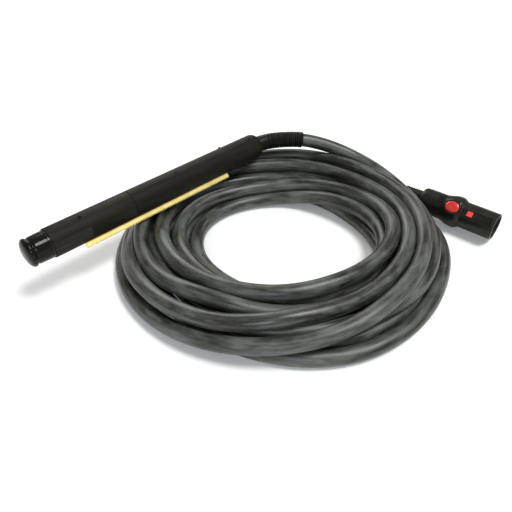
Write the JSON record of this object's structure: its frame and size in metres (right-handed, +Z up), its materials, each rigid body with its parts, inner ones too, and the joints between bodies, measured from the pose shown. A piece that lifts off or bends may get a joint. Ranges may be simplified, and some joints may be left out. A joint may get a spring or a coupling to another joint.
{
  "type": "machine plasma torch with lead",
  "caption": "Straight machine plasma-cutting torch with a brass gear rack, ribbed boot, coiled rubber lead and a quick-disconnect plug with a red release button.",
  "frame": {"origin": "on the flat underside of the coiled lead, straight below the torch's axis and 206 mm behind the front end of the gear rack", "axes": "+X along the torch's axis from the nose cap to the lead, +Z up, +Y to the side away from the gear rack"},
  "size_m": [0.4874, 0.394, 0.086],
  "materials": {
    "barrel_plastic": "satin",
    "cap_vinyl": "gloss",
    "lead_rubber": "matte",
    "boot_rubber": "satin",
    "plug_plastic": "satin",
    "insert_plastic": "satin",
    "hose_rubber": "satin",
    "seal_rubber": "satin",
    "red_plastic": "gloss",
    "brass": "satin",
    "copper": "satin",
    "steel": "satin",
    "swirl_ceramic": "matte"
  },
  "bodies": {
    "torch_and_lead": {"cap_sensor_switch": "insert_plastic", "contact_insert": "insert_plastic", "cord_clamp": "steel", "gas_contact": "brass", "gear_rack": "brass", "grip_screw_left": "steel", "grip_screw_right": "steel", "head_o_ring": "seal_rubber", "hose_guide": "insert_plastic", "latch_pin": "steel", "latch_spring": "steel", "lead_clamp_ring": "brass", "lead_coil": "lead_rubber", "lead_end": "lead_rubber", "lead_tail": "lead_rubber", "mounting_sleeve": "barrel_plastic", "nozzle": "copper", "pilot_contact": "brass", "pilot_wire": "red_plastic", "plug_grip": "plug_plastic", "plug_harness": "hose_rubber", "plug_sleeve": "plug_plastic", "plug_strain_relief": "boot_rubber", "plunger_spring": "steel", "positioning_sleeve": "barrel_plastic", "power_contact": "brass", "power_hose": "hose_rubber", "rack_screw_1": "steel", "rack_screw_2": "steel", "rack_screw_3": "steel", "rack_stop_screw": "steel", "retaining_cap": "copper", "shield": "copper", "signal_contact_1": "brass", "signal_contact_2": "brass", "signal_contact_3": "brass", "signal_contact_4": "brass", "signal_contact_5": "brass", "signal_contact_6": "brass", "signal_wire": "insert_plastic", "sleeve_coupler": "brass", "sleeve_screw_front": "steel", "sleeve_screw_middle": "steel", "sleeve_screw_rear": "steel", "strain_relief": "boot_rubber", "swirl_ring": "swirl_ceramic", "top_screw": "steel", "torch_head": "brass"},
    "nose_cap": {"nose_cap": "cap_vinyl"},
    "electrode_and_plunger": {"electrode": "copper", "plunger": "brass"},
    "cap_sensor_pin": {"cap_sensor_pin": "steel"},
    "release_latch": {"release_latch": "red_plastic"}
  },
  "joints": [
    {"name": "nose_cap_pull", "type": "slide", "parent": "torch_and_lead", "child": "nose_cap", "axis": [-1, 0, 0], "range_m": [0, 0.06]},
    {"name": "electrode_blowback", "type": "slide", "parent": "torch_and_lead", "child": "electrode_and_plunger", "axis": [1, 0, 0], "range_m": [0, 0.0016], "stiffness_N_per_m": 2000, "springref_m": -0.002, "deforming": ["plunger_spring"]},
    {"name": "cap_sensor_press", "type": "slide", "parent": "torch_and_lead", "child": "cap_sensor_pin", "axis": [1, 0, 0], "range_m": [0, 0.0008], "stiffness_N_per_m": 300, "springref_m": -0.001},
    {"name": "release_button_press", "type": "hinge", "parent": "torch_and_lead", "child": "release_latch", "pos_m": [0.18543, -0.23228, 0.03], "axis": [0.6932, 0.0448, 0.7193], "range_deg": [0, 4], "stiffness_Nm_per_rad": 1.5, "springref_deg": -5.73, "deforming": ["latch_spring"]}
  ]
}
